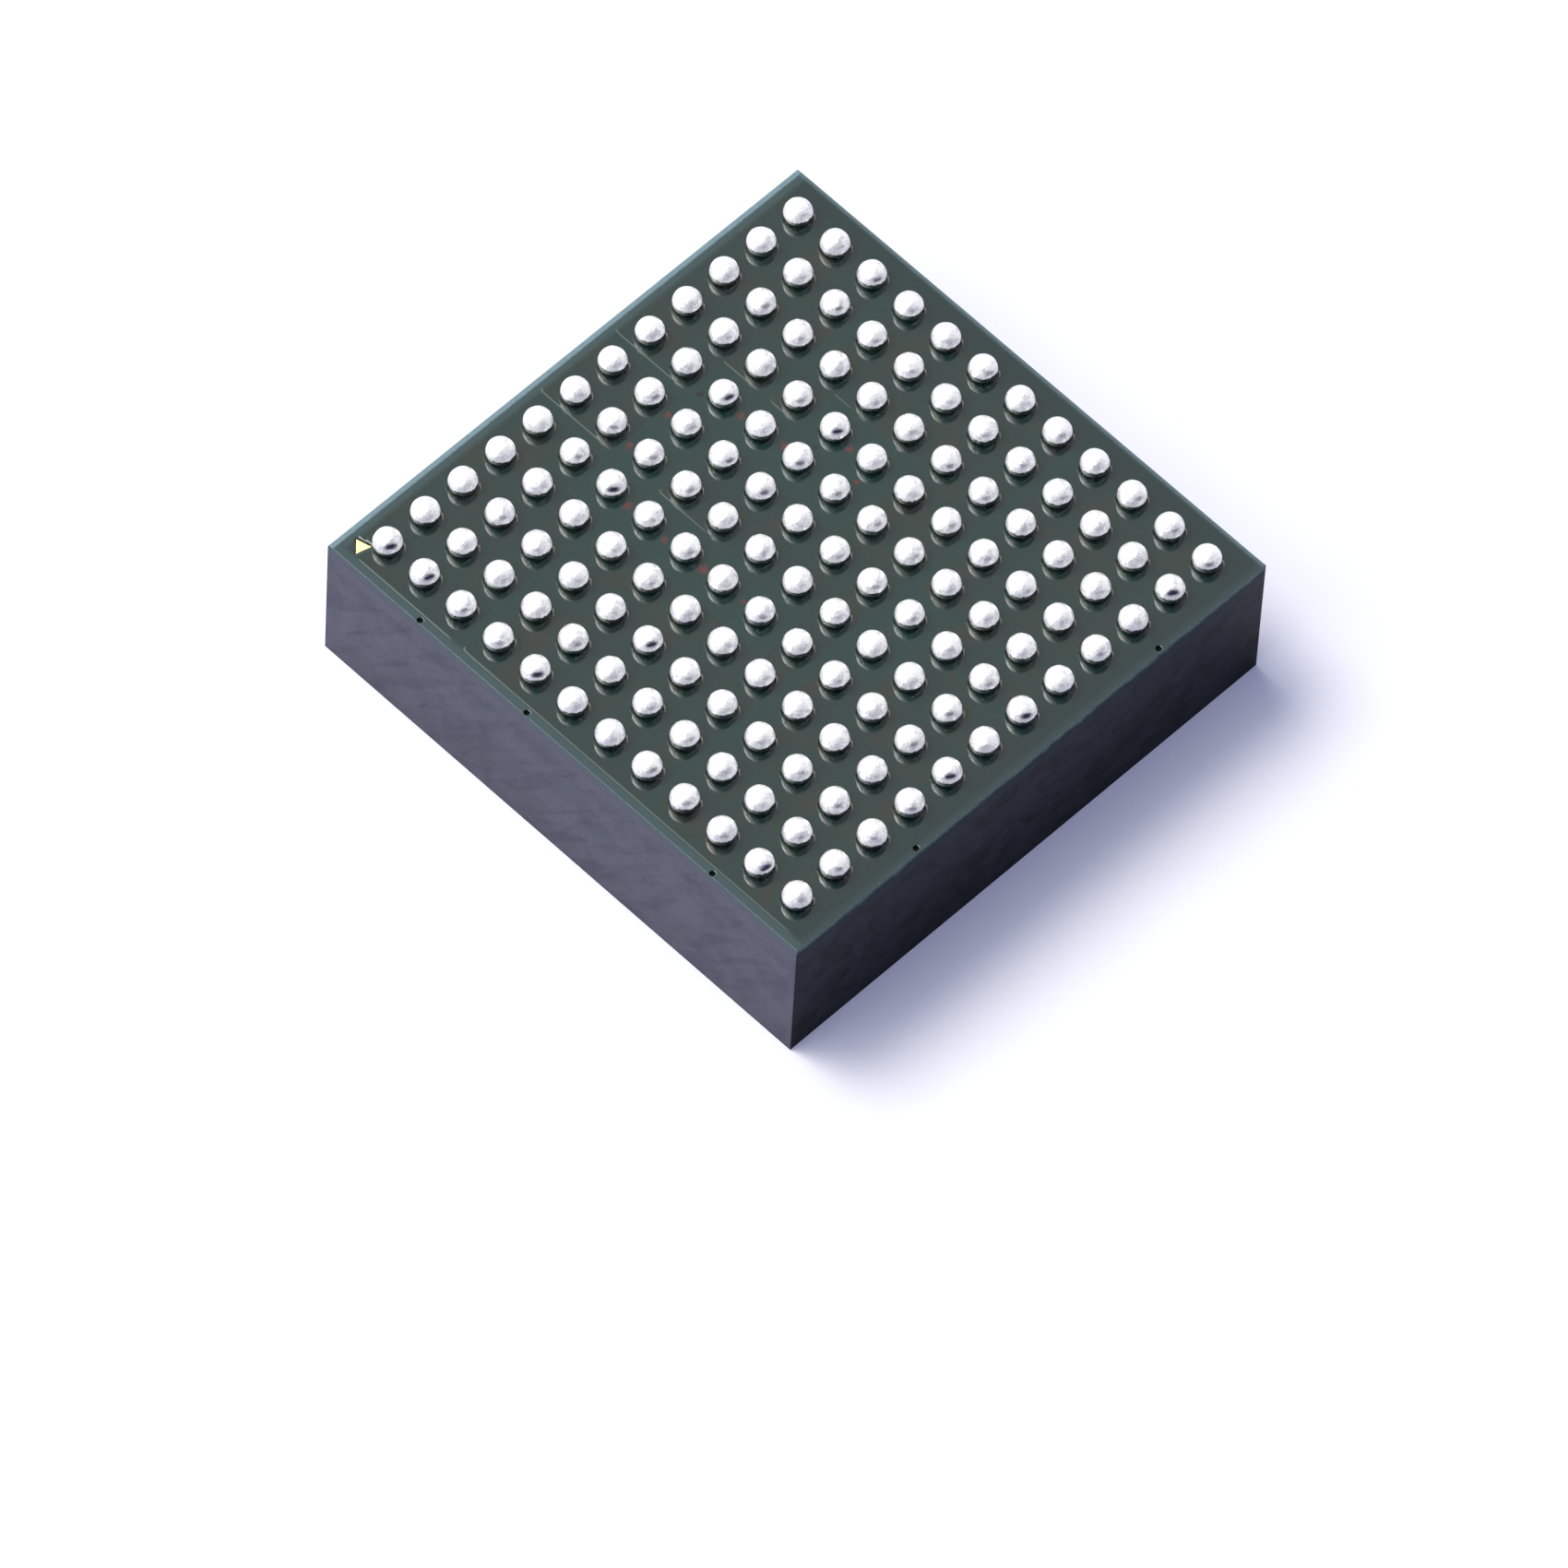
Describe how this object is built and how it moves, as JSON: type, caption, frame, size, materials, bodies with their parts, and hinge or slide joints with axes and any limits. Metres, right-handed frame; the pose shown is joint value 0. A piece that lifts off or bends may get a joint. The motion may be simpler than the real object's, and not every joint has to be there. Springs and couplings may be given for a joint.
{
  "type": "ball grid array power module",
  "caption": "Square moulded power module on a thin board, with a full grid of solder balls and a gold corner mark.",
  "frame": {"origin": "middle of the mould's flat marking face, which the module rests on", "axes": "+Z out of the ball side; +X along a lettered ball row away from ball A1; +Y along a numbered column towards row A, so ball A1 and the gold mark are at -X +Y"},
  "size_m": [0.016, 0.016, 0.005],
  "materials": {
    "mould_compound": "sawn and moulded epoxy compound, dark purple-grey",
    "solder_mask": "satin dark green solder mask",
    "laminate": "glass fibre laminate",
    "copper": "etched copper",
    "gold": "gold plated",
    "solder": "reflowed lead-free solder, bright and dimpled",
    "ferrite": "sintered ferrite",
    "ceramic_body": "fired capacitor ceramic",
    "alumina": "white alumina",
    "tin_plate": "tin plated ends",
    "silicon": "ground silicon",
    "film": "insulating film"
  },
  "bodies": {
    "root": {"ball_side_copper": "copper", "ball_side_prepreg": "laminate", "ball_side_solder_mask": "solder_mask", "board_core": "laminate", "bypass_capacitor_bodies": "ceramic_body", "bypass_capacitor_terminals": "tin_plate", "clip_solder_joints": "solder", "component_side_copper": "copper", "component_side_prepreg": "laminate", "component_side_solder_mask": "solder_mask", "component_solder_joints": "solder", "controller_bond_wires": "gold", "controller_die": "silicon", "controller_die_attach": "film", "copper_filled_vias": "copper", "ground_plane_foil": "copper", "high_side_switch_dies": "silicon", "inductor_core_bases": "ferrite", "inductor_core_caps": "ferrite", "inductor_gap_films": "film", "inductor_windings": "copper", "input_capacitor_bodies": "ceramic_body", "input_capacitor_terminals": "tin_plate", "low_side_switch_dies": "silicon", "mould_cap": "mould_compound", "output_capacitor_bodies": "ceramic_body", "output_capacitor_terminals": "tin_plate", "pin_one_mark": "gold", "power_plane_foil": "copper", "resistor_bodies": "alumina", "resistor_terminals": "tin_plate", "solder_balls_row_a": "solder", "solder_balls_row_b": "solder", "solder_balls_row_c": "solder", "solder_balls_row_d": "solder", "solder_balls_row_e": "solder", "solder_balls_row_f": "solder", "solder_balls_row_g": "solder", "solder_balls_row_h": "solder", "solder_balls_row_j": "solder", "solder_balls_row_k": "solder", "solder_balls_row_l": "solder", "solder_balls_row_m": "solder", "switch_clips": "copper"}
  },
  "joints": []
}
